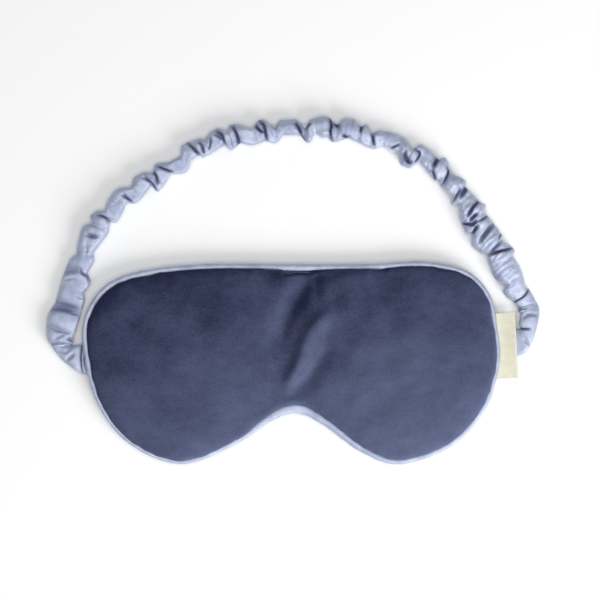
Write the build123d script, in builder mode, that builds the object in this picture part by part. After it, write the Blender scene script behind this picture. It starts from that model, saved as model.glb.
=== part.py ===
"""Padded eye mask with a piped edge, a woven side label and a ruched elastic strap, lying on its back."""

import os

from build123d import *

os.makedirs("parts", exist_ok=True)

# Frame: millimetres, +Z up out of the velvet front, origin under the middle of the pad on its flat back.

# Pad, by height above the resting surface
pad_height = 14.0
cloth = 0.5
seam_allowance = 7.0
roll_width = 2.4
roll_wall = 0.45
back_allowance_z = 2.6
strap_tail_z = 3.2
strap_tail_thickness = 1.0
label_tail_z = 4.45
roll_bottom_z = 4.9
lining_z = 5.5
lining_thickness = 0.25
front_allowance_z = 5.85
wadding_clearance = 0.15
wadding_shoulder_z = 7.0
wadding_foot_z = 2.1
lining_inset = 3.1
layer_gap = 0.05

# The outer edge of the piping, clockwise from the left side
edge_points = [
    (-104.0, 8.0),
    (-102.4, 25.0),
    (-92.5, 39.0),
    (-74.0, 46.2),
    (-42.0, 49.5),
    (0.0, 49.4),
    (38.0, 49.5),
    (66.0, 50.7),
    (87.5, 46.2),
    (99.5, 34.0),
    (103.2, 17.0),
    (104.2, 0.0),
    (97.3, -22.3),
    (80.5, -41.3),
    (54.5, -50.6),
    (35.5, -44.8),
    (16.0, -31.0),
    (2.5, -25.2),
    (-10.0, -29.0),
    (-27.0, -40.0),
    (-54.5, -50.3),
    (-80.5, -40.6),
    (-97.0, -20.0),
]

# Strap, laid in an arch above the pad. It swings about the line through its two sewn ends.
sewn_left = (-103.5, 2.0)
sewn_right = (104.5, 10.0)
axis_z = 3.7
strap_width = 12.5
strap_end_width = 14.5
strap_height = 9.0
strap_rounding = 4.0
sleeve_wall = 0.8
elastic_width = 8.0
elastic_thickness = 1.2
elastic_end_thickness = 0.5
elastic_end_z = strap_tail_z + (strap_tail_thickness - elastic_end_thickness) / 2
left_foot = (-115.0, 10.0)
left_middle = (-107.0, 46.5)
left_shoulder = (-85.5, 79.0)
crown_left = (-84.7, 79.85)
crown_top = (3.0, 116.5)
crown_right = (87.2, 79.85)
right_shoulder = (88.0, 79.0)
right_middle = (108.2, 51.4)
right_foot = (121.0, 22.0)

# Along the swing line from the middle of the two sewn ends, where the fixed ends stop
left_stub_u = -108.6
right_stub_u = 112.8
tab_bottom_z = 1.0
tab_height = 4.2
slot_gap = 0.2
strap_plane = Plane(
    origin=((sewn_left[0] + sewn_right[0]) / 2, (sewn_left[1] + sewn_right[1]) / 2, 0),
    x_dir=(sewn_right[0] - sewn_left[0], sewn_right[1] - sewn_left[1], 0),
    z_dir=(0, 0, 1),
)

# Label, folded double at its outer edge
label_z = 4.3
label_thickness = 0.7
label_slit = 0.2
label_length = 33.0
label_reach = 7.7
label_tail_reach = 6.4
label_tail_thickness = 0.4
label_root_gap = 0.6
label_turn = 2.5
label_plane = Plane(origin=(104.9, 8.5, label_z)).rotated((0, 0, label_turn))

# Thread
thread = 0.35
stitch_inset = 3.7
stitch_length = 1.6
closing_stitch_y = 44.9
closing_stitch_count = 18
tack_spacing = 1.5
tack_count = 9
tack_thickness = 0.2


def ring(inset):
    """The edge moved inwards by inset, as points."""
    count = len(edge_points)
    moved = []
    for index, point in enumerate(edge_points):
        before = Vector(*edge_points[index - 1])
        after = Vector(*edge_points[(index + 1) % count])
        along = (after - before).normalized()
        moved.append((point[0] + along.Y * inset, point[1] - along.X * inset))
    return moved


def ring_face(inset, mode=Mode.ADD):
    """The area inside the edge moved inwards by inset, in the current sketch."""
    with BuildLine() as edge:
        Spline(*ring(inset), periodic=True)
    make_face(edge.edges(), mode=mode)


def stack(sections, mode=Mode.ADD):
    """A solid through rings at (inset, height), in the current part."""
    rings = []
    for inset, height in sections:
        with BuildSketch(Plane.XY.offset(height)) as level:
            ring_face(inset)
        rings.append(level.sketch)
    loft(rings, ruled=True, mode=mode)


def band(outer_inset, inner_inset, height, thickness, mode=Mode.ADD):
    """A flat ring between two insets, in the current part."""
    with BuildSketch(Plane.XY.offset(height)) as level:
        ring_face(outer_inset)
        ring_face(inner_inset, mode=Mode.SUBTRACT)
    extrude(level.sketch, amount=thickness, mode=mode)


def save(part, name):
    part.label = name
    export_step(part, f"parts/{name}.step")


# Dome profiles as (inset, height)
front_skin = [
    (2.4, front_allowance_z),
    (2.9, 8.4),
    (5.5, 10.9),
    (10.0, 12.6),
    (16.0, 13.6),
    (23.0, pad_height),
]
front_lining_skin = [
    (2.4 + cloth, front_allowance_z - cloth),
    (2.9 + cloth, 8.2),
    (5.7 + cloth, 10.5),
    (10.0 + cloth, 12.1),
    (16.0 + cloth, 13.1),
    (23.0, pad_height - cloth),
]
back_skin = [
    (8.0, 0.0),
    (4.5, 0.8),
    (2.9, 2.0),
    (2.4, back_allowance_z + cloth),
]
back_lining_skin = [
    (8.0, cloth),
    (4.6 + cloth, 0.8 + cloth),
    (2.9 + cloth, 2.2),
    (2.4 + cloth, back_allowance_z + 2 * cloth),
]

# Front cover: velvet dome with its seam allowance turned in
with BuildPart() as front_cover:
    stack(front_skin)
    stack(front_lining_skin, mode=Mode.SUBTRACT)
    band(2.4, seam_allowance, front_allowance_z, cloth)
save(front_cover.part, "front_cover")

# Back cover: satin, flat where it rests, with its seam allowance turned in
with BuildPart() as back_cover:
    stack(back_skin)
    stack(back_lining_skin, mode=Mode.SUBTRACT)
    band(2.4, seam_allowance, back_allowance_z, cloth)
save(back_cover.part, "back_cover")

# Waddings, kept clear of the turned-in allowances
wadding_waist = seam_allowance + 0.3
with BuildPart() as front_wadding:
    stack(
        [
            (4.4, wadding_shoulder_z),
            (4.6, 8.2),
            (6.8, 10.2),
            (11.0, 11.8),
            (17.0, 12.8),
            (23.0, pad_height - cloth - wadding_clearance),
        ]
    )
    front_wadding_z = lining_z + lining_thickness + layer_gap
    with BuildSketch(Plane.XY.offset(front_wadding_z)):
        ring_face(wadding_waist)
    extrude(amount=wadding_shoulder_z - front_wadding_z)
save(front_wadding.part, "front_wadding")

with BuildPart() as back_wadding:
    stack([(9.0, cloth + wadding_clearance), (6.0, 1.6), (4.4, wadding_foot_z)])
    with BuildSketch(Plane.XY.offset(wadding_foot_z)):
        ring_face(wadding_waist)
    extrude(amount=lining_z - wadding_foot_z - layer_gap)
save(back_wadding.part, "back_wadding")

# Blackout lining, caught in the seam all round
with BuildPart() as blackout_lining:
    with BuildSketch(Plane.XY.offset(lining_z)):
        ring_face(lining_inset)
    extrude(amount=lining_thickness)
save(blackout_lining.part, "blackout_lining")

# Piping: a bias strip rolled round a cord, and its flange in the seam
with BuildPart() as piping_cover:
    band(0.0, roll_width, roll_bottom_z, roll_width)
    fillet(piping_cover.edges(), radius=0.45 * roll_width)
    band(roll_width / 2, seam_allowance, roll_bottom_z, cloth)
    band(
        roll_wall,
        roll_width - roll_wall,
        roll_bottom_z + roll_wall,
        roll_width - 2 * roll_wall,
        mode=Mode.SUBTRACT,
    )
save(piping_cover.part, "piping_cover")

with BuildPart() as piping_cord:
    band(
        roll_wall + layer_gap,
        roll_width - roll_wall - layer_gap,
        roll_bottom_z + roll_wall + layer_gap,
        roll_width - 2 * (roll_wall + layer_gap),
    )
save(piping_cord.part, "piping_cord")

# Seam thread: the needle line above the allowances and the bobbin line below them
with BuildPart() as seam_thread:
    band(stitch_inset, stitch_inset + thread, front_allowance_z + cloth + layer_gap, thread)
    band(stitch_inset, stitch_inset + thread, back_allowance_z - thread - layer_gap, thread)
save(seam_thread.part, "seam_thread")

# Closing stitches of the turning gap, in the middle of the top edge
with BuildPart() as closing_stitches:
    with Locations((0, closing_stitch_y, back_allowance_z + cloth + layer_gap)):
        with GridLocations(2 * stitch_length, 0, closing_stitch_count, 1):
            Box(
                thread,
                thread,
                roll_bottom_z - back_allowance_z - cloth - 2 * layer_gap,
                align=(Align.CENTER, Align.CENTER, Align.MIN),
            )
save(closing_stitches.part, "closing_stitches")

# Label: the tail in the seam and the folded flap outside, which turns about the label plane's Y axis
with BuildPart() as label_tail:
    with BuildSketch(label_plane.offset(label_tail_z - label_z)):
        with Locations((-label_root_gap, 0)):
            Rectangle(label_tail_reach, label_length, align=(Align.MAX, Align.CENTER))
    extrude(amount=label_tail_thickness)
save(label_tail.part, "label_tail")

with BuildPart() as label:
    with BuildSketch(label_plane):
        with Locations((0.1, 0)):
            Rectangle(label_reach, label_length, align=(Align.MIN, Align.CENTER))
    extrude(amount=label_thickness)
    fold = Axis(label_plane.origin, label_plane.y_dir)
    fillet(label.edges().filter_by(fold).sort_by(Axis.X)[-2:], radius=0.3)
    with BuildSketch(label_plane.offset((label_thickness - label_slit) / 2)):
        with Locations((0.1, 0)):
            Rectangle(label_reach - 0.4, label_length, align=(Align.MIN, Align.CENTER))
    extrude(amount=label_slit, mode=Mode.SUBTRACT)
save(label.part, "label")

# Strap ends: the sleeve pressed flat with the elastic inside, sewn in behind the piping
for side, inner_u, outer_u in (("left", -98.1, left_stub_u), ("right", 97.8, right_stub_u)):
    with BuildPart() as strap_end:
        with BuildSketch(strap_plane.offset(strap_tail_z)):
            with Locations(((inner_u + outer_u) / 2, 0)):
                Rectangle(abs(outer_u - inner_u), strap_end_width)
        extrude(amount=strap_tail_thickness)
        with BuildSketch(strap_plane.offset(elastic_end_z)):
            with Locations(((inner_u + outer_u) / 2, 0)):
                Rectangle(abs(outer_u - inner_u), elastic_width)
        extrude(amount=elastic_end_thickness, mode=Mode.SUBTRACT)
    save(strap_end.part, f"strap_end_{side}")

    with BuildPart() as elastic_end:
        with BuildSketch(strap_plane.offset(elastic_end_z + layer_gap)):
            with Locations(((inner_u + outer_u) / 2, 0)):
                Rectangle(abs(outer_u - inner_u), elastic_width - 2 * layer_gap)
        extrude(amount=elastic_end_thickness - 2 * layer_gap)
    save(elastic_end.part, f"elastic_end_{side}")

    with BuildPart() as bar_tack:
        with BuildSketch(strap_plane.offset(strap_tail_z + strap_tail_thickness)):
            with Locations((inner_u * 1.02, 0)):
                with GridLocations(0, tack_spacing, 1, tack_count):
                    Rectangle(stitch_length, thread)
        extrude(amount=tack_thickness)
    save(bar_tack.part, f"bar_tack_{side}")


def ribbon(start, middle, end, width, bottom, height, rounding):
    """A flat band along an arc, its long edges rounded."""
    with BuildPart() as solid:
        with BuildSketch(Plane.XY.offset(bottom)) as plan:
            with BuildLine() as route:
                ThreePointArc(start, middle, end)
            trace(route.edges(), line_width=width)
        extrude(plan.sketch, amount=height)
        if rounding:
            fillet(solid.edges().filter_by(GeomType.CIRCLE), radius=rounding)
    return solid.part


def sleeve_and_elastic(name, start, middle, end, tab=None, tab_slot=None, tab_core=None):
    """One stretch of the gathered sleeve as a hollow band, and the elastic inside it."""
    outer = ribbon(start, middle, end, strap_width, 0, strap_height, strap_rounding)
    hollow_width = strap_width - 2 * sleeve_wall
    hollow_height = strap_height - 2 * sleeve_wall
    hollow_rounding = strap_rounding - sleeve_wall
    hollow = ribbon(start, middle, end, hollow_width, sleeve_wall, hollow_height, hollow_rounding)
    core_z = axis_z - elastic_thickness / 2
    core = ribbon(start, middle, end, elastic_width, core_z, elastic_thickness, 0)

    with BuildPart() as sleeve:
        add(outer)
        if tab:
            with BuildSketch(strap_plane.offset(tab_bottom_z)):
                with BuildLine() as rim:
                    Polyline(*tab, close=True)
                make_face(rim.edges())
            extrude(amount=tab_height)
        add(hollow, mode=Mode.SUBTRACT)
        if tab:
            with BuildSketch(strap_plane.offset(core_z - slot_gap)):
                with BuildLine() as rim:
                    Polyline(*tab_slot, close=True)
                make_face(rim.edges())
            extrude(amount=elastic_thickness + 2 * slot_gap, mode=Mode.SUBTRACT)
    save(sleeve.part, f"sleeve_{name}")

    with BuildPart() as elastic:
        add(core)
        if tab:
            with BuildSketch(strap_plane.offset(core_z)):
                with BuildLine() as rim:
                    Polyline(*tab_core, close=True)
                make_face(rim.edges())
            extrude(amount=elastic_thickness)
    save(elastic.part, f"elastic_{name}")


sleeve_and_elastic(
    "left",
    left_foot,
    left_middle,
    left_shoulder,
    tab=[(-108.9, 7.3), (-108.9, -6.2), (-115, -0.8), (-120, 5.0), (-120.5, 9.6), (-109.0, 9.2)],
    tab_slot=[(-108.8, -4.4), (-108.8, 4.8), (-111.6, 9.8), (-118.6, 9.8), (-118.0, 4.6)],
    tab_core=[(-108.95, -4.0), (-108.95, 4.5), (-111.9, 9.5), (-118.3, 9.5), (-117.7, 5.0)],
)
sleeve_and_elastic("crown", crown_left, crown_top, crown_right)
sleeve_and_elastic(
    "right",
    right_shoulder,
    right_middle,
    right_foot,
    tab=[(113.1, 6.2), (113.1, -6.6), (119.0, -3.4), (122.3, 5.0), (124.6, 14.0), (113.8, 14.0)],
    tab_slot=[(113.0, -4.4), (113.0, 4.6), (115.2, 13.5), (121.0, 13.5), (120.0, 5.0), (118.0, -1.4)],
    tab_core=[(113.15, -4.0), (113.15, 4.3), (115.6, 13.2), (120.7, 13.2), (119.7, 5.1), (117.8, -1.1)],
)
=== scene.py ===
import math

import bpy
import numpy as np
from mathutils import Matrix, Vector, kdtree, noise


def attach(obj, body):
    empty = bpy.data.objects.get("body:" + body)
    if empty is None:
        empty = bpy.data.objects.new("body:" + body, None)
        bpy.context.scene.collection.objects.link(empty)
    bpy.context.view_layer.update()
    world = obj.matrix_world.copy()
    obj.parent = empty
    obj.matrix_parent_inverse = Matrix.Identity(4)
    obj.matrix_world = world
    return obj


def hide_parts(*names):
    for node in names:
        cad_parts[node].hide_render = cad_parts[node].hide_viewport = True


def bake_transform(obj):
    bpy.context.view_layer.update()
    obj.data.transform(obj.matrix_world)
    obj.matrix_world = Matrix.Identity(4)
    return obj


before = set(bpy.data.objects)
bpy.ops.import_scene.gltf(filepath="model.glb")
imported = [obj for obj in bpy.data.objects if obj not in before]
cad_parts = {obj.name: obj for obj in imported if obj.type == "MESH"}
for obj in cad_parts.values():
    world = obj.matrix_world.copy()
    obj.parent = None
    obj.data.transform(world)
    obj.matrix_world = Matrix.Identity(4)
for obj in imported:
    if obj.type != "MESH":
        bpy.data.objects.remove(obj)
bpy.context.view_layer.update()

mm = 0.001


def deselectAll():
    if bpy.context.object and bpy.context.object.mode != "OBJECT":
        bpy.ops.object.mode_set(mode="OBJECT")
    bpy.ops.object.select_all(action="DESELECT")


def makeActive(obj):
    deselectAll()
    obj.select_set(True)
    bpy.context.view_layer.objects.active = obj


def applyModifier(obj, kind, **settings):
    makeActive(obj)
    mod = obj.modifiers.new(kind.title(), kind)
    for key, value in settings.items():
        setattr(mod, key, value)
    bpy.ops.object.modifier_apply(modifier=mod.name)


def editAll(obj):
    makeActive(obj)
    bpy.ops.object.mode_set(mode="EDIT")
    bpy.ops.mesh.select_all(action="SELECT")


def leaveEdit():
    bpy.ops.object.mode_set(mode="OBJECT")


def getPoints(obj):
    flat = np.empty(len(obj.data.vertices) * 3)
    obj.data.vertices.foreach_get("co", flat)
    return flat.reshape(-1, 3)


def facing(obj):
    # how far each point's normal looks up, from -1 to 1
    flat = np.empty(len(obj.data.vertices) * 3)
    obj.data.vertices.foreach_get("normal", flat)
    return flat.reshape(-1, 3)[:, 2]


def setPoints(obj, points):
    obj.data.vertices.foreach_set("co", np.asarray(points, float).ravel())
    obj.data.update()


def smooth(obj, angle=None):
    makeActive(obj)
    if angle:
        bpy.ops.object.shade_smooth_by_angle(angle=math.radians(angle))
    else:
        bpy.ops.object.shade_smooth()


def copyPiece(obj, name):
    makeActive(obj)
    bpy.ops.object.duplicate()
    twin = bpy.context.object
    twin.name = name
    twin.data.name = name
    return twin


def smoothstep(x, low, high):
    t = np.clip((x - low) / (high - low), 0, 1)
    return t * t * (3 - 2 * t)


def gridTube(name, along, around, place):
    # a grid rolled into a tube: place(u, angle) gives each point, then its two edges are merged
    bpy.ops.mesh.primitive_grid_add(x_subdivisions=along, y_subdivisions=around, size=2)
    tube = bpy.context.object
    tube.name = name
    tube.data.name = name
    flat = getPoints(tube)
    points = [place((x + 1) / 2, (y + 1) * math.pi) for x, y, z in flat]
    setPoints(tube, points)
    editAll(tube)
    bpy.ops.mesh.remove_doubles(threshold=1e-6)
    bpy.ops.mesh.normals_make_consistent(inside=False)
    leaveEdit()
    return tube


def throughPoints(values, closed=False):
    # a smooth line through a few given points, even in the share of its length
    values = np.asarray(values, float)
    count = len(values)
    rows = []
    last = count if closed else count - 1
    for i in range(last):
        if closed:
            a, b, c, d = (values[(i + k) % count] for k in (-1, 0, 1, 2))
        else:
            a, b, c, d = (values[min(max(i + k, 0), count - 1)] for k in (-1, 0, 1, 2))
        for step in range(24):
            t = step / 24
            square = (2 * a - 5 * b + 4 * c - d) * t**2
            cube = (3 * b - a - 3 * c + d) * t**3
            rows.append(0.5 * (2 * b + (c - a) * t + square + cube))
    rows.append(values[0] if closed else values[-1])
    return np.array(rows)


def distances(line):
    return np.concatenate([[0], np.cumsum(np.linalg.norm(np.diff(line[:, :2], axis=0), axis=1))])


def atDistance(line, run, where):
    return np.stack([np.interp(where, run, line[:, k]) for k in range(line.shape[1])], -1)


# the pad's edge, as the CAD cuts it, with how much piping the velvet leaves showing
edge = {
    "points": [  # x, y, piping shown, all in mm
        (-104.0, 8.0, 2.0),
        (-102.4, 25.0, 2.1),
        (-92.5, 39.0, 2.3),
        (-74.0, 46.2, 2.4),
        (-42.0, 49.5, 2.3),
        (0.0, 49.4, 2.4),
        (38.0, 49.5, 2.3),
        (66.0, 50.7, 2.2),
        (87.5, 46.2, 1.9),
        (99.5, 34.0, 1.6),
        (103.2, 17.0, 1.3),
        (104.2, 0.0, 1.2),
        (97.3, -22.3, 1.3),
        (80.5, -41.3, 1.6),
        (54.5, -50.6, 1.9),
        (35.5, -44.8, 2.4),
        (16.0, -31.0, 3.0),
        (2.5, -25.2, 4.0),
        (-10.0, -29.0, 2.8),
        (-27.0, -40.0, 1.2),
        (-54.5, -50.3, 0.9),
        (-80.5, -40.6, 1.2),
        (-97.0, -20.0, 1.6),
    ],
    "rollRadius": 1.2,
    "rollZ": 6.1,
}
edgeLine = throughPoints(edge["points"], closed=True) * mm
edgeRun = distances(edgeLine)


def edgeFrame(share):
    # the edge's point at a share of its length, the way inwards, and the piping shown there
    length = edgeRun[-1]
    here = atDistance(edgeLine, edgeRun, share % 1.0 * length)
    ahead = atDistance(edgeLine, edgeRun, (share + 0.002) % 1.0 * length)
    behind = atDistance(edgeLine, edgeRun, (share - 0.002) % 1.0 * length)
    along = (ahead - behind)[:2]
    along = along / np.linalg.norm(along)
    return here[:2], np.array([along[1], -along[0]]), here[2]


# the padded body: two cloths on a filling, blown up by cloth simulation between pinned seams
pad = {
    "seamInset": 2.2,  # from the pad's edge in to the stitches
    "seamSteps": 1200,
    "slabLow": 3.4,
    "slabHigh": 7.0,
    "voxel": 2.8,
    "pressure": 4.0,
    "growth": -0.05,  # below zero lets the cloth grow
    "frames": 20,
    "cap": 11.0,  # no point moves further than this
    "top": 13.2,
    "bridgeTop": 9.6,
    "shoulder": 15.0,  # how far in from the seam the velvet reaches its full height
    "folds": [  # a path in mm, its rise, and how far it spreads on its left and right
        ([(10.8, 50.0), (8.5, 42.0), (1.8, 30.5), (-4.0, 18.0), (-5.2, 5.0)], -2.5, 4.8, 6.8),
        ([(24.0, 30.0), (14.0, 21.0), (8.2, 13.0), (3.5, -1.0), (-4.0, -16.0)], 2.4, 5.4, 3.7),
        ([(20.0, 12.0), (13.2, -1.0), (4.0, -11.5), (0.5, -22.0)], -2.2, 6.0, 4.4),
        ([(22.0, 50.0), (30.0, 36.0), (27.0, 18.0)], 1.2, 12.0, 8.5),
        ([(1.0, 50.0), (-5.0, 37.0), (-9.5, 22.0), (-10.0, 8.0)], 1.4, 5.5, 9.0),
        ([(12.0, 52.0), (12.8, 42.0), (13.2, 28.0)], -0.8, 2.6, 2.4),
    ],
    "clothThickness": 0.5,
    "velvetCut": 5.6,
    "satinCut": 4.7,
    "satinHigh": 4.5,
    "satinTucked": 1.9,  # how far the satin runs out under the piping
    "waddingGap": 1.1,
    "waddingInset": 2.4,
    "frontWaddingFoot": 5.85,
    "backWaddingTop": 5.4,
}


def edgeCircle(name, count, inset, z):
    bpy.ops.mesh.primitive_circle_add(vertices=count, radius=0.1, fill_type="NGON")
    disc = bpy.context.object
    disc.name = name
    rows = []
    for i in range(count):
        here, inward, shown = edgeFrame(i / count)
        rows.append((*(here + inward * inset), z))
    setPoints(disc, rows)
    return disc


def edgeTree(inset):
    # the seam line as a tree, to ask how far a point lies inside it
    steps = pad["seamSteps"]
    tree = kdtree.KDTree(steps)
    for i in range(steps):
        here, inward, shown = edgeFrame(i / steps)
        point = here + inward * inset
        tree.insert((point[0], point[1], 0), i)
    tree.balance()
    return tree


def makePad():
    slab = edgeCircle("padBody", 360, pad["seamInset"] * mm, pad["slabLow"] * mm)
    editAll(slab)
    rise = (pad["slabHigh"] - pad["slabLow"]) * mm
    bpy.ops.mesh.extrude_region_move(TRANSFORM_OT_translate={"value": (0, 0, rise)})
    bpy.ops.mesh.select_all(action="SELECT")
    bpy.ops.mesh.normals_make_consistent(inside=False)
    leaveEdit()
    applyModifier(slab, "REMESH", mode="VOXEL", voxel_size=pad["voxel"] * mm)
    seam = edgeTree(pad["seamInset"] * mm)
    pinned = slab.vertex_groups.new(name="seam")
    for vertex in slab.data.vertices:
        away = seam.find((vertex.co.x, vertex.co.y, 0))[2]
        if away < 0.9 * mm:
            pinned.add([vertex.index], 1.0, "REPLACE")
    before = getPoints(slab)
    # which cloth each point belongs to is noted before it is blown up and wrinkles
    cloths = slab.data.attributes.new("velvetSide", "FLOAT", "POINT")
    middle = (pad["slabLow"] + pad["slabHigh"]) / 2 * mm
    cloths.data.foreach_set("value", (before[:, 2] > middle).astype(float))
    makeActive(slab)
    bpy.ops.object.modifier_add(type="CLOTH")
    cloth = slab.modifiers[-1]
    cloth.settings.quality = 6
    cloth.settings.use_pressure = True
    cloth.settings.uniform_pressure_force = pad["pressure"]
    cloth.settings.shrink_min = pad["growth"]
    cloth.settings.vertex_group_mass = "seam"
    cloth.settings.effector_weights.gravity = 0
    cloth.point_cache.frame_end = pad["frames"]
    for step in range(1, pad["frames"] + 1):
        bpy.context.scene.frame_set(step)
    bpy.ops.object.modifier_apply(modifier=cloth.name)
    bpy.context.scene.frame_set(1)
    after = getPoints(slab)
    moved = after - before
    far = np.linalg.norm(moved, axis=1, keepdims=True)
    after = before + moved * np.minimum(1, pad["cap"] * mm / np.maximum(far, 1e-9))
    print("pad blown up by", round(float(far.max()) / mm, 1), "mm, z", after[:, 2].min(), after[:, 2].max())
    low, high = pad["slabLow"] * mm, pad["slabHigh"] * mm
    top, bottom = after[:, 2].max(), after[:, 2].min()
    z = after[:, 2]
    up = high + (z - high) * (pad["top"] * mm - high) / (top - high)
    down = low - (low - z) * 1.35 * low / (low - bottom)
    down = np.where(down < 0.6 * mm, 0.6 * mm * np.exp(down / (0.6 * mm) - 1), down)
    after[:, 2] = np.where(z > high, up, np.where(z < low, np.maximum(down - 0.1 * mm, 0), z))
    setPoints(slab, after)
    applyModifier(slab, "SMOOTH", factor=0.5, iterations=6)
    applyModifier(slab, "SUBSURF", levels=2, render_levels=2)
    return slab, seam


def lineDistance(points, path):
    # for each point: its distance from a path, the side it lies on, how far along, and the way there
    line = throughPoints(path) * mm
    run = distances(line)
    best = np.full(len(points), 1e9)
    side = np.zeros(len(points))
    where = np.zeros(len(points))
    toward = np.zeros((len(points), 2))
    for i in range(0, len(line) - 1, 4):
        j = min(i + 4, len(line) - 1)
        a, b = line[i], line[j]
        ab = b - a
        t = np.clip(((points - a) @ ab) / (ab @ ab), 0, 1)
        gap = points - (a + t[:, None] * ab)
        away = np.linalg.norm(gap, axis=1)
        nearer = away < best
        best = np.where(nearer, away, best)
        side = np.where(nearer, np.sign(ab[0] * gap[:, 1] - ab[1] * gap[:, 0]), side)
        where = np.where(nearer, (run[i] + t * (run[j] - run[i])) / run[-1], where)
        toward = np.where(nearer[:, None], -gap / np.maximum(away, 1e-9)[:, None], toward)
    return best, side, where, toward


def insetOf(points, seam):
    # how far inside the seam line each point lies, below zero outside it, and where along it
    found = [seam.find((p[0], p[1], 0)) for p in points]
    shares = np.array([f[1] / pad["seamSteps"] for f in found])
    signed = []
    for p, f in zip(points, found):
        here, inward, shown = edgeFrame(f[1] / pad["seamSteps"])
        signed.append(f[2] if (p[:2] - here) @ inward > pad["seamInset"] * mm else -f[2])
    return np.array(signed), shares


def squareRim(slab, seam):
    # the remesh rounds the rim off, so it is drawn back out to the seam line
    points = getPoints(slab)
    signed, shares = insetOf(points, seam)
    bins = (shares * 300).astype(int) % 300
    rim = np.full(300, 1.0)
    for k, s, z in zip(bins, signed, points[:, 2]):
        if pad["slabLow"] * mm - 0.5 * mm < z < pad["slabHigh"] * mm + 0.5 * mm:
            rim[k] = min(rim[k], s)
    wide = np.stack([np.roll(rim, k) for k in range(-3, 4)])
    rim = np.where(wide > 0.5, 0, wide).mean(0)
    frames = [edgeFrame(k / 300) for k in range(300)]
    for i, (k, s) in enumerate(zip(bins, signed)):
        if s < 12 * mm:
            points[i, :2] -= frames[k][1] * rim[k] * math.exp(-((max(s, 0) / (5 * mm)) ** 2))
    setPoints(slab, points)


def shapePad(slab, seam):
    # the folds over the bridge, the puckers along the seam and the velvet that rolls over its piping
    points = getPoints(slab)
    inside, shares = insetOf(points, seam)
    inside = np.maximum(inside, 0)
    velvetSide = np.zeros(len(points))
    slab.data.attributes["velvetSide"].data.foreach_get("value", velvetSide)
    onVelvet = smoothstep(velvetSide, 0.5, 0.9) * smoothstep(inside, 1.5 * mm, 3.5 * mm)
    onFront = np.maximum(smoothstep(points[:, 2], 4.9 * mm, 5.7 * mm), onVelvet)
    onBack = (1 - smoothstep(points[:, 2], 3.0 * mm, 4.4 * mm)) * (1 - onVelvet)
    # the filling keeps the velvet up over the narrow bridge too
    dome = 1 - (1 - np.minimum(inside / (pad["shoulder"] * mm), 1)) ** 2
    least = (6.7 + (pad["bridgeTop"] - 6.7) * np.sqrt(dome)) * mm
    lifted = least + 1.2 * mm * np.logaddexp(0, (points[:, 2] - least) / (1.2 * mm))
    raised = np.maximum(onVelvet, smoothstep(points[:, 2], 5.4 * mm, 6.6 * mm))
    points[:, 2] += (lifted - points[:, 2]) * raised
    rise = np.zeros(len(points))
    onTop = smoothstep(points[:, 2], 6.4 * mm, 7.6 * mm)
    for path, height, left, right in pad["folds"]:
        away, side, where, toward = lineDistance(points[:, :2], path)
        width = np.where(side > 0, left, right) * mm
        ends = smoothstep(where, 0, 0.25) * (1 - smoothstep(where, 0.72, 1.0))
        rise += height * mm * np.exp(-((away / width) ** 2)) * ends
    for i, p in enumerate(points):
        slow = noise.noise(Vector((p[0] / 0.03, p[1] / 0.03, 3.1)))
        quick = noise.noise(Vector((p[0] / 0.009, p[1] / 0.009, 7.7)))
        rise[i] += (0.55 * slow + 0.12 * quick) * mm * min(1, inside[i] / (6 * mm))
        pucker = noise.noise(Vector((p[0] / 0.0045, p[1] / 0.0045, 1.3)))
        rise[i] += 0.30 * mm * pucker * math.exp(-inside[i] / (4 * mm))
    points[:, 2] += rise * onTop * smoothstep(inside, -1 * mm, 5 * mm)
    points[:, 2] = np.where(onTop > 0.5, np.maximum(points[:, 2], 6.9 * mm), points[:, 2])
    for i, share in enumerate(shares):
        if inside[i] > 9 * mm:
            continue
        here, inward, shown = edgeFrame(share)
        wobble = 0.22 * noise.noise(Vector((here[0] / 0.006, here[1] / 0.006, 5.0)))
        push = (pad["seamInset"] * mm - shown + wobble * mm) * math.exp(-((inside[i] / (4.5 * mm)) ** 2))
        # the low wall at the rim is drawn right out to the seam line
        wall = (1 - smoothstep(points[i, 2], 6.4 * mm, 7.2 * mm)) * math.exp(-((inside[i] / (3 * mm)) ** 2))
        points[i, :2] -= inward * (push + inside[i] * wall) * onFront[i]
        rim = math.exp(-((inside[i] / (3 * mm)) ** 2))
        points[i, :2] -= inward * (pad["satinTucked"] * mm + inside[i]) * rim * onBack[i]
    # the satin stays under its cut, however it wrinkled
    satin = (velvetSide < 0.5) & (inside > 0.8 * mm)
    points[satin, 2] = np.minimum(points[satin, 2], pad["satinHigh"] * mm)
    setPoints(slab, points)


def pullIn(piece, seam, amount):
    # draws a piece's rim inwards, so that it hides well under its cover
    points = getPoints(piece)
    signed, shares = insetOf(points, seam)
    for i, (s, share) in enumerate(zip(signed, shares)):
        points[i, :2] += edgeFrame(share)[1] * amount * mm * math.exp(-((max(s, 0) / (8 * mm)) ** 2))
    setPoints(piece, points)


def cutPad(slab, name, z, keepTop):
    part = copyPiece(slab, name)
    editAll(part)
    bpy.ops.mesh.bisect(
        plane_co=(0, 0, z * mm), plane_no=(0, 0, 1), clear_inner=keepTop, clear_outer=not keepTop
    )
    leaveEdit()
    return part


padBody, seamTree = makePad()
squareRim(padBody, seamTree)
shapePad(padBody, seamTree)
print("pad shaped")

frontCover = cutPad(padBody, "velvet_front", pad["velvetCut"], True)
backCover = cutPad(padBody, "satin_back", pad["satinCut"], False)
for cover in (frontCover, backCover):
    applyModifier(cover, "SOLIDIFY", thickness=pad["clothThickness"] * mm, offset=-1)
    smooth(cover)


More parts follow.
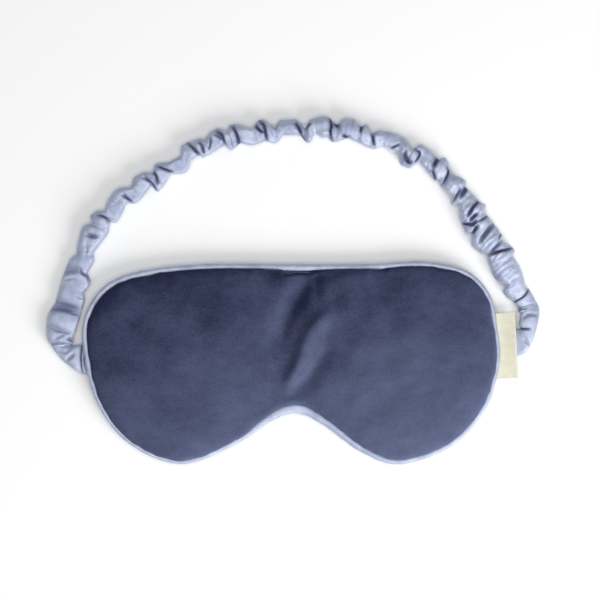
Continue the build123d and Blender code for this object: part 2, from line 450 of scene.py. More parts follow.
def makeWadding(name, z, keepTop):
    # the pad's own shape drawn in all round, with the other half pressed flat against the lining
    core = copyPiece(padBody, name)
    applyModifier(core, "DISPLACE", strength=-pad["waddingGap"] * mm, mid_level=0)
    pullIn(core, seamTree, pad["waddingInset"])
    points = getPoints(core)
    if keepTop:
        points[:, 2] = np.maximum(points[:, 2], z * mm)
    else:
        points[:, 2] = np.minimum(points[:, 2], z * mm)
    setPoints(core, points)
    applyModifier(core, "DECIMATE", ratio=0.25)
    smooth(core, 40)
    return core


frontWadding = makeWadding("wadding_front", pad["frontWaddingFoot"], True)
backWadding = makeWadding("wadding_back", pad["backWaddingTop"], False)
bpy.data.objects.remove(padBody)
print("covers and waddings cut")


# the piping is a bias strip of satin rolled round a soft cord
piping = {"along": 900, "around": 16, "ripple": 0.10, "coreRadius": 0.7, "tucked": 0.9}


def pipingPlace(radiusOf):
    def place(u, angle):
        here, inward, shown = edgeFrame(u)
        half, height = radiusOf(u, shown)
        middle = here + inward * max((shown + piping["tucked"] * mm) / 2, 1.0 * mm)
        across = math.cos(angle) * half
        point = middle + inward * across
        return (point[0], point[1], edge["rollZ"] * mm + math.sin(angle) * height)

    return place


def rollSize(u, shown):
    spot = Vector((math.cos(u * 6.283) * 22, math.sin(u * 6.283) * 22, 0))
    ripple = 1 + piping["ripple"] * noise.noise(spot)
    half = max(edge["rollRadius"] * mm, (shown + piping["tucked"] * mm) / 2)
    return half * ripple, edge["rollRadius"] * mm * ripple


pipingRoll = gridTube("piping_satin", piping["along"], piping["around"], pipingPlace(rollSize))
pipingCore = gridTube(
    "piping_filler",
    400,
    8,
    pipingPlace(lambda u, shown: (piping["coreRadius"] * mm, piping["coreRadius"] * mm)),
)
smooth(pipingRoll)
smooth(pipingCore)
print("piping rolled")


# the strap is a satin tube gathered on flat elastic, its two ends sewn in behind the piping
strap = {
    "route": [  # x, y, half thickness, how gathered it is
        (-114.8, 7.6, 3.3, 0.0),
        (-115.8, 13.5, 3.4, 0.0),
        (-114.2, 21.3, 3.1, 0.0),
        (-112.6, 27.5, 2.3, 0.0),
        (-110.3, 34.5, 3.2, 0.1),
        (-107.4, 42.7, 2.4, 0.2),
        (-105.4, 49.0, 3.2, 0.5),
        (-102.3, 56.5, 3.4, 0.9),
        (-98.0, 65.5, 4.0, 1.0),
        (-92.0, 74.5, 4.1, 1.0),
        (-84.5, 82.2, 4.1, 1.0),
        (-73.5, 89.5, 4.1, 1.0),
        (-62.0, 96.5, 4.1, 1.0),
        (-48.0, 105.5, 4.1, 1.0),
        (-33.0, 112.2, 4.1, 1.0),
        (-15.0, 115.7, 4.1, 1.0),
        (4.0, 117.0, 4.1, 1.0),
        (24.0, 116.2, 4.1, 1.0),
        (40.5, 112.6, 4.1, 1.0),
        (54.0, 107.5, 4.1, 1.0),
        (66.0, 101.5, 4.1, 1.0),
        (76.5, 92.5, 4.1, 1.0),
        (86.0, 80.5, 4.1, 1.0),
        (94.5, 69.0, 4.1, 1.0),
        (102.0, 57.8, 4.0, 1.0),
        (107.8, 46.5, 3.8, 0.8),
        (112.6, 36.5, 3.3, 0.5),
        (116.2, 30.6, 2.7, 0.3),
        (118.6, 26.2, 2.1, 0.0),
    ],
    "outer": [  # x, y where each gather of the outer side swells out and where it is pinched in
        (-120.0, 8.5), (-122.5, 15.0), (-122.0, 23.0), (-118.0, 30.0), (-114.0, 44.0), (-111.0, 51.5),
        (-107.5, 54.5), (-106.0, 62.5), (-104.5, 68.0), (-99.0, 70.0), (-100.5, 73.5), (-97.5, 76.0),
        (-93.0, 76.0), (-91.0, 82.5), (-88.0, 86.5), (-80.0, 88.0), (-78.0, 93.5), (-75.0, 95.0),
        (-69.0, 95.0), (-68.0, 99.5), (-61.0, 100.5), (-55.0, 103.0), (-54.5, 109.0), (-46.0, 112.5),
        (-43.5, 111.5), (-39.5, 116.0), (-37.0, 117.5), (-31.5, 115.5), (-31.0, 119.0), (-28.5, 119.5),
        (-20.0, 117.0), (-15.0, 122.0), (-8.0, 117.0), (-5.5, 121.5), (2.0, 122.0), (7.0, 117.0),
        (10.0, 122.0), (17.0, 123.5), (23.0, 119.0), (27.0, 122.5), (31.0, 122.0), (35.0, 118.0),
        (37.5, 119.5), (40.5, 114.5), (44.5, 116.5), (55.5, 113.5), (61.0, 106.5), (65.0, 109.5),
        (74.0, 101.5), (77.0, 103.0), (80.5, 94.5), (87.5, 91.0), (87.0, 88.5), (94.5, 80.5),
        (97.5, 79.0), (97.0, 75.5), (106.0, 63.5), (105.5, 61.5), (112.0, 56.5), (111.0, 53.5),
        (114.5, 48.5), (117.5, 38.5), (119.5, 36.5), (124.0, 28.5),
    ],
    "inner": [
        (-109.5, 8.0), (-109.0, 12.5), (-106.0, 22.0), (-103.5, 30.5), (-104.0, 35.0), (-100.5, 40.0),
        (-102.0, 45.0), (-98.5, 51.0), (-99.0, 55.0), (-92.0, 64.0), (-90.5, 70.5), (-87.0, 70.5),
        (-82.0, 80.0), (-77.5, 80.0), (-70.0, 89.0), (-67.0, 85.5), (-60.0, 94.5), (-52.5, 95.5),
        (-50.0, 101.5),
        (-45.5, 104.0), (-44.0, 102.5), (-33.0, 109.0), (-30.0, 106.5), (-25.5, 110.0), (-19.0, 109.0),
        (-12.5, 111.0), (-8.0, 110.0), (-4.0, 114.0), (4.5, 114.0), (9.0, 110.0), (12.0, 115.0),
        (16.5, 112.5), (18.0, 113.5), (21.0, 110.5), (28.5, 112.5), (41.0, 107.0), (45.5, 108.5),
        (53.0, 105.5), (55.5, 98.5), (59.0, 97.5), (64.0, 100.5), (72.0, 91.0), (73.5, 92.5),
        (75.0, 88.0), (80.5, 83.5), (80.0, 79.5), (84.0, 79.5), (86.0, 69.0), (87.5, 65.0),
        (91.0, 65.0), (90.5, 58.5), (94.0, 55.5), (99.0, 54.5), (98.5, 52.0), (101.5, 43.0),
        (107.5, 38.5), (106.0, 35.5), (111.5, 30.5), (113.8, 28.0), (114.2, 25.0), (114.6, 23.5),
    ],
    "creases": [  # a path over the top, how deep it dips and how wide, in mm
        ([(-121.0, 9.6), (-115.0, 9.9), (-109.0, 9.2)], 1.1, 0.9),
        ([(-121.5, 28.0), (-114.0, 28.0), (-106.0, 25.5)], 2.0, 3.2),
        ([(-110.5, 25.0), (-106.5, 24.2)], 1.2, 1.2),
        ([(-122.0, 19.5), (-116.0, 16.5), (-110.0, 15.5)], 1.0, 2.0),
        ([(-118.5, 12.0), (-113.0, 14.5)], 0.7, 1.4),
        ([(-111.5, 12.5), (-109.2, 11.0)], 1.6, 1.2),
        ([(-114.0, 46.3), (-109.0, 46.6), (-104.5, 46.6)], 1.2, 2.6),
        ([(-113.5, 41.8), (-108.0, 42.3)], 0.5, 1.0),
        ([(-105.6, 47.2), (-104.6, 44.8), (-101.8, 43.1), (-100.7, 40.0)], 2.0, 1.1),
        ([(-107.5, 33.5), (-103.4, 32.0)], 0.7, 1.0),
        ([(-102.5, 61.0), (-102.0, 56.0), (-102.8, 51.0)], 0.6, 0.7),
        ([(-102.4, 64.6), (-99.5, 63.4), (-96.5, 63.2)], 1.5, 1.7),
        ([(-96.4, 73.8), (-93.0, 73.0), (-90.2, 70.2)], 2.2, 1.1),
        ([(-84.0, 84.0), (-79.6, 80.6)], 2.2, 1.1),
        ([(-73.2, 92.8), (-69.8, 90.1), (-67.0, 86.0)], 2.3, 1.1),
        ([(-69.2, 95.2), (-67.4, 93.8), (-66.6, 90.0)], 2.4, 1.1),
        ([(-66.8, 98.3), (-64.0, 97.3), (-59.4, 95.6)], 2.3, 1.1),
        ([(-52.3, 110.4), (-49.6, 108.0), (-45.6, 103.6)], 2.4, 1.2),
        ([(-46.4, 110.8), (-44.6, 108.7), (-43.5, 104.8)], 2.2, 1.1),
        ([(-40.6, 113.0), (-40.2, 110.8), (-41.0, 106.8)], 1.8, 0.9),
        ([(-37.6, 116.1), (-34.6, 114.2), (-33.0, 109.4)], 2.4, 1.1),
        ([(-38.2, 114.4), (-34.0, 111.5)], 1.9, 1.0),
        ([(-29.5, 118.4), (-27.6, 115.3), (-26.5, 112.0), (-25.8, 108.3)], 2.8, 1.4),
        ([(-17.8, 118.7), (-16.4, 116.8), (-14.5, 115.2)], 2.8, 1.3),
        ([(-16.2, 121.0), (-13.6, 119.0), (-12.8, 115.7), (-12.2, 111.0)], 2.6, 1.2),
        ([(1.7, 120.8), (3.3, 118.4), (5.3, 114.2)], 2.4, 1.4),
        ([(4.9, 114.5), (7.6, 110.8)], 2.2, 0.9),
        ([(7.4, 117.0), (9.8, 119.8)], 2.4, 1.1),
        ([(19.0, 122.8), (20.0, 119.0), (19.6, 115.1), (20.4, 111.2)], 2.7, 1.2),
        ([(22.0, 119.6), (23.7, 117.8)], 2.6, 1.3),
        ([(25.8, 113.8), (28.6, 112.8)], 2.8, 1.4),
        ([(35.6, 119.0), (34.7, 115.6)], 2.6, 1.2),
        ([(40.5, 114.4), (41.4, 109.3)], 2.2, 1.2),
        ([(49.6, 107.1), (54.0, 109.4)], 2.0, 1.1),
        ([(56.6, 105.4), (57.4, 101.8), (60.0, 99.8)], 2.6, 1.7),
        ([(61.4, 107.0), (64.3, 104.6), (62.0, 100.4)], 2.3, 1.1),
        ([(73.6, 102.4), (71.4, 98.6)], 2.8, 1.6),
        ([(70.6, 96.2), (72.3, 91.4)], 2.4, 1.1),
        ([(77.4, 99.0), (78.5, 95.1), (76.0, 89.8)], 2.2, 1.1),
        ([(88.0, 88.2), (86.4, 85.6), (84.7, 83.0)], 2.5, 1.9),
        ([(84.4, 88.2), (82.5, 83.5), (80.8, 80.2)], 1.8, 1.0),
        ([(94.4, 81.2), (91.3, 78.3), (88.2, 73.8)], 2.8, 1.3),
        ([(93.0, 74.5), (89.6, 71.6)], 2.6, 1.1),
        ([(98.7, 73.8), (93.4, 70.6)], 1.8, 1.1),
        ([(85.4, 69.8), (90.2, 69.2), (92.6, 70.8)], 2.8, 1.2),
        ([(93.1, 68.2), (90.6, 64.8)], 2.6, 1.3),
        ([(101.0, 69.6), (96.9, 64.4), (94.4, 60.6)], 1.9, 1.7),
        ([(105.0, 64.8), (103.7, 62.0)], 1.8, 0.9),
        ([(104.8, 60.6), (98.4, 55.0)], 1.8, 1.0),
        ([(110.6, 57.5), (105.2, 56.1), (99.2, 54.2)], 2.6, 1.3),
        ([(119.2, 37.6), (116.3, 33.3), (110.2, 29.8)], 2.2, 0.9),
        ([(121.6, 29.4), (116.9, 27.8), (112.6, 26.4)], 2.2, 1.1),
        ([(119.8, 27.6), (115.4, 23.2)], 2.2, 1.0),
    ],
    "along": 640,
    "around": 60,
    "floorGap": 0.3,
    "wall": 0.25,
    "elasticRoom": (2.4, 3.9),  # the creases stay out of these heights
}
strapLine = throughPoints(strap["route"]) * mm
strapRun = distances(strapLine)
print("strap lies over", round(strapRun[-1] / mm), "mm")


def strapFrame(distance):
    here = atDistance(strapLine, strapRun, np.clip(distance, 0, strapRun[-1]))
    ahead = atDistance(strapLine, strapRun, min(distance + 2.5 * mm, strapRun[-1]))
    behind = atDistance(strapLine, strapRun, max(distance - 2.5 * mm, 0))
    along = (ahead - behind)[:2]
    along = along / np.linalg.norm(along)
    return here, along, np.array([-along[1], along[0]])


def sideReach(points, sign):
    # turns listed points on one side into reach from the middle against distance along the strap
    rows = []
    for x, y in points:
        nearest = np.argmin(np.hypot(strapLine[:, 0] - x * mm, strapLine[:, 1] - y * mm))
        here, along, outward = strapFrame(strapRun[nearest])
        off = np.array([x, y]) * mm - here[:2]
        rows.append((strapRun[nearest] + off @ along, sign * off @ outward))
    rows = np.array(rows)
    for i in range(1, len(rows)):
        rows[i, 0] = max(rows[i, 0], rows[i - 1, 0] + 0.6 * mm)
    # cloth swells out round from a pinch, so each stretch leaves its lower end steeply and tops out level
    curve = []
    for (start, low), (end, high) in zip(rows, rows[1:]):
        for t in np.linspace(0, 1, 16, endpoint=False):
            swell = math.sin(t * math.pi / 2) if high > low else 1 - math.cos(t * math.pi / 2)
            share = 0.75 * swell + 0.25 * smoothstep(t, 0, 1)
            curve.append((start + (end - start) * t, low + (high - low) * share))
    curve.append(rows[-1])
    return np.array(curve)


outerReach = sideReach(strap["outer"], 1)
innerReach = sideReach(strap["inner"], -1)


def sleevePlace(u, angle):
    distance = u * strapRun[-1]
    here, along, outward = strapFrame(distance)
    thick, gather = here[2], here[3] / mm
    side, up = math.cos(angle), math.sin(angle)
    reach = outerReach if side > 0 else innerReach
    width = np.interp(distance, reach[:, 0], reach[:, 1])
    other = innerReach if side > 0 else outerReach
    across = width + np.interp(distance, other[:, 0], other[:, 1])
    far = distance / mm
    puff = noise.noise(Vector((far / 6, side * 1.2, up * 1.2)))
    fine = noise.noise(Vector((far / 2.4, side * 2.2, up * 2.2)))
    ruffle = 1 - 2 * abs(noise.noise(Vector((far / 2.1 + side * 0.9, side * 0.7, up * 0.6 + 5))))
    lift = min(thick, across * 0.36) * (1 + gather * (0.15 * puff + 0.08 * fine + 0.14 * ruffle))
    lift *= math.copysign(abs(up) ** 0.8, up)
    middle = max(thick * 1.02, 3.0 * mm) + strap["floorGap"] * mm
    closing = min(1, u / 0.003, (1 - u) / 0.003)
    spot = here[:2] + outward * width * math.copysign(abs(side) ** 0.85, side) * closing
    return (spot[0], spot[1], max(middle + lift * closing, 0.15 * mm))


def creaseCloth(piece, creases, low, high):
    # presses each crease into the top, and the same ones a little further along into the underside, and
    # stores painted shade that is strongest along each crease
    points = getPoints(piece)
    up = facing(piece)
    under = up < 0
    # the dips stop short of the elastic inside
    room = np.where(under, low - points[:, 2] / mm, points[:, 2] / mm - high)
    flat = points[:, :2] + np.where(under, 4.5 * mm, 0)[:, None]
    shift = np.zeros_like(flat)
    dip = np.zeros(len(points))
    # how strong the painted shade is at each point, strongest along a crease
    dark = np.zeros(len(points))
    for path, depth, width in creases:
        away, side, where, toward = lineDistance(flat, path)
        away = away / (width * mm)
        ends = 0.35 + 0.65 * np.sin(np.clip(where, 0, 1) * math.pi) ** 0.6
        dip = np.maximum(dip, 1.35 * depth * ends * np.clip(1 - away / 1.25, 0, 1) ** 1.3)
        dark = np.maximum(dark, depth * ends * np.exp(-((away / 1.3) ** 2)))
        rolled = depth * ends * np.exp(-((away - 1.2) ** 2) * 1.5)
        shift += toward * (0.25 * mm * rolled * (away > 0.15))[:, None]
        dip -= 0.16 * rolled
    # painted shade: kept on the piece for the satin finish, which darkens its colour along each crease
    paintedCreaseShade = piece.data.attributes.new("paintedCreaseShade", "FLOAT", "POINT")
    paintedCreaseShade.data.foreach_set("value", np.clip(dark / 2.1, 0, 1))
    dip = np.minimum(dip * np.abs(up) ** 0.3, np.maximum(room, 0))
    points[:, 2] += np.where(under, 0.6, -1) * dip * mm
    points[:, :2] += shift * np.clip(room / 2, 0, 1)[:, None]
    points[:, 2] = np.maximum(points[:, 2], 0.15 * mm)
    setPoints(piece, points)


sleeve = gridTube("strap_sleeve", strap["along"], strap["around"], sleevePlace)
creaseCloth(sleeve, strap["creases"], *strap["elasticRoom"])
applyModifier(sleeve, "SOLIDIFY", thickness=strap["wall"] * mm, offset=-1)
smooth(sleeve)
print("sleeve gathered")


elastic = {"halfWidth": 2.9, "halfThickness": 0.5, "z": 3.1}


def elasticPlace(u, angle):
    distance = (0.01 + 0.98 * u) * strapRun[-1]
    here, along, outward = strapFrame(distance)
    closing = min(1, u / 0.01, (1 - u) / 0.01)
    spot = here[:2] + outward * elastic["halfWidth"] * mm * math.cos(angle) * closing
    lift = elastic["halfThickness"] * mm * math.sin(angle) * closing
    return (spot[0], spot[1], elastic["z"] * mm + lift)


elasticBand = gridTube("strap_elastic", 160, 10, elasticPlace)
smooth(elasticBand, 40)

tabs = {
    "left": [  # inner x, y, outer x, y, height of the middle, half thickness
        (-98.5, 9.2, -97.6, -5.0, 3.7, 0.45),
        (-103.4, 9.3, -102.4, -5.5, 3.7, 0.5),
        (-105.0, 9.2, -104.4, -5.4, 4.0, 1.1),
        (-106.6, 9.0, -108.4, -3.4, 4.3, 2.0),
        (-108.2, 8.8, -113.8, 0.6, 4.0, 2.0),
        (-109.2, 8.6, -117.8, 5.0, 3.2, 1.7),
        (-109.6, 8.9, -119.4, 8.4, 2.6, 1.3),
        (-110.4, 12.0, -119.0, 12.6, 2.3, 1.0),
    ],
    "right": [
        (98.6, 17.2, 98.9, 3.0, 3.7, 0.45),
        (103.6, 17.1, 104.2, 2.9, 3.6, 0.5),
        (108.5, 16.9, 109.2, 3.0, 3.4, 0.8),
        (112.7, 16.7, 114.4, 3.6, 3.4, 1.3),
        (114.6, 16.9, 118.2, 6.0, 3.6, 1.9),
        (115.2, 17.6, 121.2, 11.6, 3.8, 2.2),
        (114.4, 19.6, 123.4, 19.0, 3.9, 2.4),
        (114.6, 22.4, 124.4, 25.0, 3.8, 2.2),
        (115.2, 25.6, 124.0, 28.6, 3.4, 1.8),
        (114.4, 28.8, 122.0, 31.8, 3.0, 1.3),
    ],
    "creases": {
        "left": [
            ([(-103.5, 9.4), (-104.6, 2.0), (-103.6, -5.6)], 2.2, 1.5),
            ([(-108.5, 4.5), (-112.5, 1.5)], 0.9, 1.8),
            ([(-110.0, 8.0), (-113.0, 5.5), (-117.0, 6.5)], 0.5, 1.5),
        ],
        "right": [
            ([(113.0, 18.7), (115.2, 17.2), (119.2, 17.2)], 2.0, 1.0),
            ([(116.0, 22.5), (119.0, 24.5), (122.5, 24.0)], 0.8, 1.6),
            ([(116.5, 12.0), (119.5, 9.5)], 0.7, 1.4),
        ],
    },
    "along": 120,
    "around": 40,
    "elasticRoom": (2.0, 2.6),
}


def makeTab(side):
    line = throughPoints(tabs[side]) * mm
    steps = np.linspace(0, 1, len(line))

    def place(u, angle):
        row = [np.interp(u, steps, line[:, k]) for k in range(6)]
        inner, outer = np.array(row[:2]), np.array(row[2:4])
        across, up = math.cos(angle), math.sin(angle)
        closing = min(1, u / 0.01, (1 - u) / 0.01)
        middle, half = (inner + outer) / 2, (outer - inner) / 2
        spot = middle + half * across * closing
        crumple = 1 + 0.10 * noise.noise(Vector((spot[0] / 0.006, spot[1] / 0.006, up)))
        lift = row[5] * math.copysign(abs(up) ** 0.8, up) * crumple
        return (spot[0], spot[1], row[4] + lift * closing)

    tab = gridTube("strap_tab_" + side, tabs["along"], tabs["around"], place)
    creaseCloth(tab, tabs["creases"][side], *tabs["elasticRoom"])
    applyModifier(tab, "SOLIDIFY", thickness=strap["wall"] * mm, offset=-1)
    smooth(tab)
    return tab


tabLeft = makeTab("left")
tabRight = makeTab("right")
print("strap ends folded")


# the label is woven tape folded double, both ends in the seam
label = {
    "hinge": (104.9, 8.5),
    "turn": 2.5,
    "reach": 7.7,
    "tail": 6.0,
    "length": 32.6,
    "layerGap": 0.34,
    "z": 4.38,
    "thickness": 0.2,
}


def makeLabel():
    bpy.ops.mesh.primitive_grid_add(x_subdivisions=60, y_subdivisions=36, size=2)
    tape = bpy.context.object
    tape.name = "woven_label"
    reach, tail, gap = (label[k] * mm for k in ("reach", "tail", "layerGap"))
    bend = math.pi * gap / 2
    whole = 2 * (reach + tail) + bend
    turn = math.radians(label["turn"])
    rows = []
    for x, y, z in getPoints(tape):
        walked = (x + 1) / 2 * whole
        if walked < reach + tail:
            out, up = walked - tail, 0.0
        elif walked < reach + tail + bend:
            swing = (walked - reach - tail) / bend * math.pi
            out, up = reach + gap / 2 * math.sin(swing), gap / 2 * (1 - math.cos(swing))
        else:
            out, up = reach + (reach + tail + bend - walked), gap
        side = y * label["length"] * mm / 2
        free = max(0, out / reach)
        drape = 1.3 * mm * free**1.6 * (0.45 + 0.55 * math.exp(-((side / (9 * mm)) ** 2)))
        drape += 0.25 * mm * free * math.sin(side / (5.5 * mm) + 0.8)
        out *= 1 - 0.03 * y
        px = label["hinge"][0] * mm + out * math.cos(turn) - side * math.sin(turn)
        py = label["hinge"][1] * mm + out * math.sin(turn) + side * math.cos(turn)
        rows.append((px, py, label["z"] * mm + up + drape))
    setPoints(tape, rows)
    applyModifier(tape, "SOLIDIFY", thickness=label["thickness"] * mm, offset=0)
    smooth(tape, 50)
    return tape


wovenLabel = makeLabel()
print("label folded")


# finishes
colours = {
    "velvetDeep": "#1E2340",
    # the velvet's pale end, for its nap patches and for painted light
    "velvetPaleNapAndLight": "#5A6280",
    "velvetSheen": "#A5ADC1",
    "satinDeep": "#939DBD",
    "satinLight": "#C6CFE2",
    # painted shade for the satin's creases
    "satinPaintedShade": "#34386A",
    "ribbonCream": "#ECE9D6",
    "ribbonShade": "#D6D3BD",
    "elasticWhite": "#F1F1F4",
    "elasticRib": "#C9C9D2",
    "threadBlue": "#3A4166",
    "threadLight": "#59618A",
    "waddingWhite": "#F4F4F1",
    "waddingShade": "#DADAD4",
    "liningBlack": "#101014",
    "liningThread": "#24242B",
    "cordCream": "#E9E2CF",
    "cordShade": "#BDB294",
    "floor": "#FBFBFB",
}


def linear(name):
    code = colours[name].lstrip("#")
    channels = [int(code[i : i + 2], 16) / 255 for i in (0, 2, 4)]
    return tuple(c / 12.92 if c <= 0.04045 else ((c + 0.055) / 1.055) ** 2.4 for c in channels) + (1.0,)


def addNode(material, kind, inputs=None, **settings):
    # adds a shader node; inputs hold values, or sockets of other nodes to link from
    node = material.node_tree.nodes.new("ShaderNode" + kind)
    for key, value in settings.items():
        setattr(node, key, value)
    for key, value in (inputs or {}).items():
        if isinstance(value, bpy.types.NodeSocket):
            material.node_tree.links.new(value, node.inputs[key])
        else:
            node.inputs[key].default_value = value
    return node


def newMaterial(name, **constants):
    material = bpy.data.materials.new(name)
    material.use_nodes = True
    shader = material.node_tree.nodes["Principled BSDF"]
    for key, value in constants.items():
        shader.inputs[key.replace("_", " ")].default_value = value
    return material, shader


def blendColours(material, factor, first, second):
    mix = addNode(material, "Mix", {0: factor, 6: linear(first), 7: linear(second)}, data_type="RGBA")
    return mix.outputs[2]


def noiseOf(material, coords, size, detail=2.0, rough=0.5, stretch=(1, 1, 1)):
    # noise whose lumps are about size mm across
    mapping = addNode(material, "Mapping", {"Vector": coords, "Scale": [s / (size * mm) for s in stretch]})
    inputs = {"Vector": mapping.outputs[0], "Scale": 1.0, "Detail": detail, "Roughness": rough}
    return addNode(material, "TexNoise", inputs).outputs[0]


def spread(material, value, low, high, outLow=0.0, outHigh=1.0):
    inputs = {"Value": value, "From Min": low, "From Max": high, "To Min": outLow, "To Max": outHigh}
    return addNode(material, "MapRange", inputs).outputs[0]


def calculate(material, operation, first, second):
    return addNode(material, "Math", {0: first, 1: second}, operation=operation).outputs[0]


def project(material, vector, direction):
    node = addNode(material, "VectorMath", {0: vector, 1: direction}, operation="DOT_PRODUCT")
    return node.outputs["Value"]


def bumpInto(material, shader, height, distance, strength):
    bump = addNode(material, "Bump", {"Height": height, "Distance": distance * mm, "Strength": strength})
    material.node_tree.links.new(bump.outputs[0], shader.inputs["Normal"])


def threadsOf(material, coords, pitch, direction):
    # rows of threads, pitch mm apart
    mapping = addNode(material, "Mapping", {"Vector": coords, "Scale": [1 / (pitch * mm)] * 3})
    inputs = {"Vector": mapping.outputs[0], "Scale": 0.314, "Distortion": 0.6, "Detail": 1.0}
    rows = addNode(material, "TexWave", inputs, wave_type="BANDS", bands_direction=direction)
    return rows.outputs["Fac"]


def makeVelvet():
    # short dense pile in random nap patches, with painted light: paler towards the lower right and on
    # slopes facing the key light there, darker towards the top left
    material, shader = newMaterial(
        "Short pile velvet",
        Roughness=0.85,
        Specular_IOR_Level=0.15,
        Sheen_Weight=0.7,
        Sheen_Roughness=0.4,
        Sheen_Tint=linear("velvetSheen"),
    )
    source = addNode(material, "TexCoord")
    coords = source.outputs["Object"]
    nap = noiseOf(material, coords, 19, 2.5, 0.5, (1, 1.3, 1))
    pile = noiseOf(material, coords, 0.7, 4.0, 0.8)
    brushed = noiseOf(material, coords, 5, 3.0, 0.6, (1, 1.6, 1))
    # painted light: slopes facing the key light at the lower right are painted paler, those facing away
    # darker
    paintedSlopeLight = project(material, source.outputs["Normal"], (0.75, -0.65, 0))
    # painted light: the colour is painted paler towards the bottom and a little towards the right
    across = project(material, coords, (1.3, -5.0, 0))
    napAndPaintedLight = calculate(material, "ADD", spread(material, paintedSlopeLight, -0.45, 0.45, -0.27, 0.27), across)
    napAndPaintedLight = calculate(material, "ADD", napAndPaintedLight, spread(material, nap, 0.3, 0.7, 0.26, 0.54))
    napAndPaintedLight = calculate(material, "ADD", napAndPaintedLight, spread(material, pile, 0.3, 0.7, -0.17, 0.27))
    napAndPaintedLight = calculate(material, "ADD", napAndPaintedLight, spread(material, brushed, 0.3, 0.7, -0.03, 0.09))
    napAndPaintedLight = spread(material, napAndPaintedLight, 0, 1)
    colour = blendColours(material, napAndPaintedLight, "velvetDeep", "velvetPaleNapAndLight")
    material.node_tree.links.new(colour, shader.inputs["Base Color"])
    height = calculate(material, "ADD", pile, calculate(material, "MULTIPLY", brushed, 1.2))
    bumpInto(material, shader, height, 0.22, 0.5)
    return material


def makeSatin(name, crinkled, coords="Object", along=1.0, around=1.0):
    # charmeuse: long floating threads that catch the light in soft bright streaks, with painted shade that
    # darkens the colour in each crease
    material, shader = newMaterial(
        name,
        Roughness=0.44,
        Metallic=0.3,
        Specular_IOR_Level=0.6,
        Sheen_Weight=0.1,
        Sheen_Roughness=0.4,
    )
    source = addNode(material, "TexCoord")
    where = source.outputs[coords]
    if coords == "UV":
        scale = (along * mm, around * mm, 1)
        where = addNode(material, "Mapping", {"Vector": where, "Scale": scale}).outputs[0]
    floats = threadsOf(material, where, 0.22, "X")
    cloud = noiseOf(material, source.outputs["Object"], 8, 3.0)
    slub = noiseOf(material, where, 0.8, 2.0, 0.6, (0.25, 2.0, 1))
    tone = calculate(
        material, "ADD", spread(material, cloud, 0.3, 0.7, 0, 0.6), spread(material, slub, 0.3, 0.7, 0, 0.3)
    )
    tone = calculate(material, "ADD", tone, calculate(material, "MULTIPLY", floats, 0.1))
    cloth = blendColours(material, tone, "satinDeep", "satinLight")
    # painted shade: the colour is mixed towards a dark blue by how deep a point lies in a crease
    paintedCreaseShade = addNode(material, "Attribute", attribute_name="paintedCreaseShade")
    fade = spread(material, paintedCreaseShade.outputs["Fac"], 0.12, 1.0, 0, 0.8)
    mix = addNode(material, "Mix", {0: fade, 6: cloth, 7: linear("satinPaintedShade")}, data_type="RGBA")
    material.node_tree.links.new(mix.outputs[2], shader.inputs["Base Color"])
    crinkle = noiseOf(material, where, 1.7, 3.0, 0.6, (1.0, 0.3, 1))
    lines = calculate(material, "MULTIPLY", floats, 0.1)
    height = calculate(material, "ADD", lines, calculate(material, "MULTIPLY", slub, 0.25))
    height = calculate(material, "ADD", height, calculate(material, "MULTIPLY", crinkle, crinkled))
    bumpInto(material, shader, height, 0.4, 0.6)
    return material


def makeWoven(name, first, second, pitch, depth, rough, sheen=0.1, coords="Object"):
    # plain weave: warp and weft show as a fine even check
    material, shader = newMaterial(name, Roughness=rough, Specular_IOR_Level=0.3, Sheen_Weight=sheen)
    where = addNode(material, "TexCoord").outputs[coords]
    warp, weft = (threadsOf(material, where, pitch, direction) for direction in ("X", "Y"))
    weave = calculate(material, "MULTIPLY", warp, weft)
    uneven = noiseOf(material, where, 3.5, 3.0)
    half = calculate(material, "MULTIPLY", weave, 0.5)
    tone = calculate(material, "ADD", half, spread(material, uneven, 0.3, 0.7, 0, 0.5))
    material.node_tree.links.new(blendColours(material, tone, first, second), shader.inputs["Base Color"])
    bumpInto(material, shader, weave, depth, 0.6)
    return material


def makeFibres(name, first, second, size, depth, rough, sheen):
    # loose or twisted fibre with no weave to see
    material, shader = newMaterial(name, Roughness=rough, Specular_IOR_Level=0.25, Sheen_Weight=sheen)
    where = addNode(material, "TexCoord").outputs["Object"]
    lumps = noiseOf(material, where, size, 5.0, 0.7)
    strands = noiseOf(material, where, size / 4, 3.0, 0.6, (0.4, 1.6, 1.6))
    tone = spread(material, calculate(material, "ADD", lumps, strands), 0.7, 1.3)
    material.node_tree.links.new(blendColours(material, tone, first, second), shader.inputs["Base Color"])
    bumpInto(material, shader, calculate(material, "ADD", lumps, strands), depth, 0.5)
    return material


velvet = makeVelvet()
satinSheet = makeSatin("Charmeuse satin", 0.25)
satinTube = makeSatin("Gathered charmeuse satin", 0.9, "UV", along=400, around=36)
ribbon = makeWoven("Woven ribbon tape", "ribbonShade", "ribbonCream", 0.28, 0.06, 0.6)
knitElastic = makeWoven("Knitted elastic", "elasticRib", "elasticWhite", 0.9, 0.2, 0.7)
lining = makeWoven("Blackout lining cloth", "liningBlack", "liningThread", 0.35, 0.05, 0.55, 0.2)
wadding = makeFibres("Polyester wadding", "waddingShade", "waddingWhite", 4.0, 0.8, 0.95, 0.4)
threadFinish = makeFibres("Spun polyester thread", "threadBlue", "threadLight", 0.6, 0.05, 0.6, 0.3)
cordFinish = makeFibres("Cotton piping cord", "cordShade", "cordCream", 0.9, 0.1, 0.9, 0.3)


def paint(piece, material):
    piece.data.materials.clear()
    piece.data.materials.append(material)


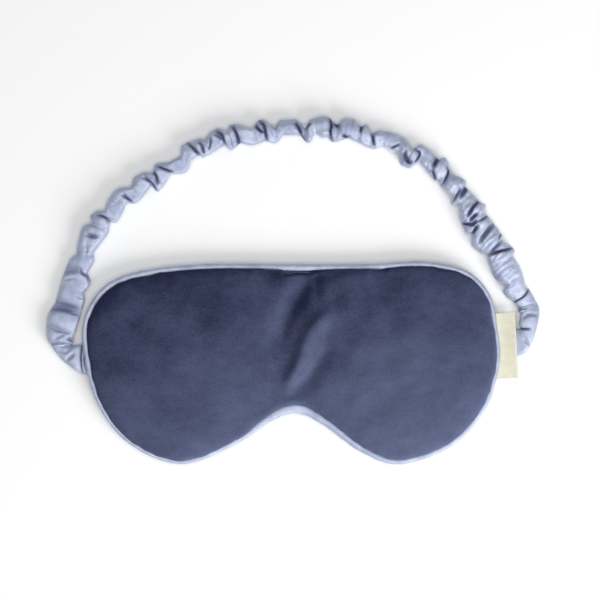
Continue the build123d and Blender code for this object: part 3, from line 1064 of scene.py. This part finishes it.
paint(frontCover, velvet)
paint(backCover, satinSheet)
paint(frontWadding, wadding)
paint(backWadding, wadding)
paint(pipingRoll, satinSheet)
paint(pipingCore, cordFinish)
paint(sleeve, satinTube)
paint(tabLeft, satinSheet)
paint(tabRight, satinSheet)
paint(elasticBand, knitElastic)
paint(wovenLabel, ribbon)
for name, material in {
    "blackout_lining": lining,
    "seam_thread": threadFinish,
    "closing_stitches": threadFinish,
    "bar_tack_left": threadFinish,
    "bar_tack_right": threadFinish,
}.items():
    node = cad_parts[name]
    node.data.materials.clear()
    node.data.materials.append(material)
print("finishes made")

# the pad's pieces ride the CAD mask body, the others stay where they were built; each stands for the CAD
# nodes it hides
for piece, nodes in {
    frontCover: ["front_cover"],
    backCover: ["back_cover"],
    frontWadding: ["front_wadding"],
    backWadding: ["back_wadding"],
    pipingRoll: ["piping_cover"],
    pipingCore: ["piping_cord"],
}.items():
    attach(piece, "mask")
    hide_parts(*nodes)

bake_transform(wovenLabel)
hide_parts("label", "label_tail")
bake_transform(tabLeft)
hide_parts("strap_end_left", "elastic_end_left")
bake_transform(tabRight)
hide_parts("strap_end_right", "elastic_end_right")
for piece, nodes in {
    sleeve: ["sleeve_left", "sleeve_crown", "sleeve_right"],
    elasticBand: ["elastic_left", "elastic_crown", "elastic_right"],
}.items():
    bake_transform(piece)
    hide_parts(*nodes)

bpy.ops.mesh.primitive_plane_add(size=6, location=(0, 0, -0.1 * mm))
floor = bpy.context.object
floor.name = "floor"
floorFinish, floorShader = newMaterial("Matt white paper sweep", Roughness=0.9, Specular_IOR_Level=0.1)
floorGrain = noiseOf(floorFinish, addNode(floorFinish, "TexCoord").outputs["Object"], 2.0, 3.0)
floorShader.inputs["Base Color"].default_value = linear("floor")
bumpInto(floorFinish, floorShader, floorGrain, 0.02, 0.2)
floor.data.materials.append(floorFinish)

# one light from the lower right, and a wide soft one overhead
studio = {
    "key": {"at": (0.7, -0.75, 0.6), "size": 0.7, "power": 12},
    "overhead": {"at": (0.0, 0.0, 1.35), "size": 0.8, "power": 8},
    "world": 0.3,
    "camera": {"at": (0.0045, 0.0315, 1.2), "lens": 143.3},
}


def addLight(name, at, size, power):
    bpy.ops.object.light_add(type="AREA", location=at)
    lamp = bpy.context.object
    lamp.name = name
    lamp.data.size = size
    lamp.data.energy = power
    lamp.rotation_euler = (Vector((0, 0.03, 0)) - Vector(at)).to_track_quat("-Z", "Y").to_euler()
    return lamp


keyLight = addLight("key_light", **studio["key"])
overhead = addLight("overhead_light", **studio["overhead"])
world = bpy.data.worlds.new("studio")
bpy.context.scene.world = world
world.use_nodes = True
world.node_tree.nodes["Background"].inputs["Color"].default_value = (1, 1, 1, 1)
world.node_tree.nodes["Background"].inputs["Strength"].default_value = studio["world"]

bpy.ops.object.camera_add(location=studio["camera"]["at"], rotation=(0, 0, 0))
camera = bpy.context.object
camera.data.lens = studio["camera"]["lens"]
camera.data.sensor_width = 36
bpy.context.scene.camera = camera
bpy.context.scene.view_settings.view_transform = "Standard"
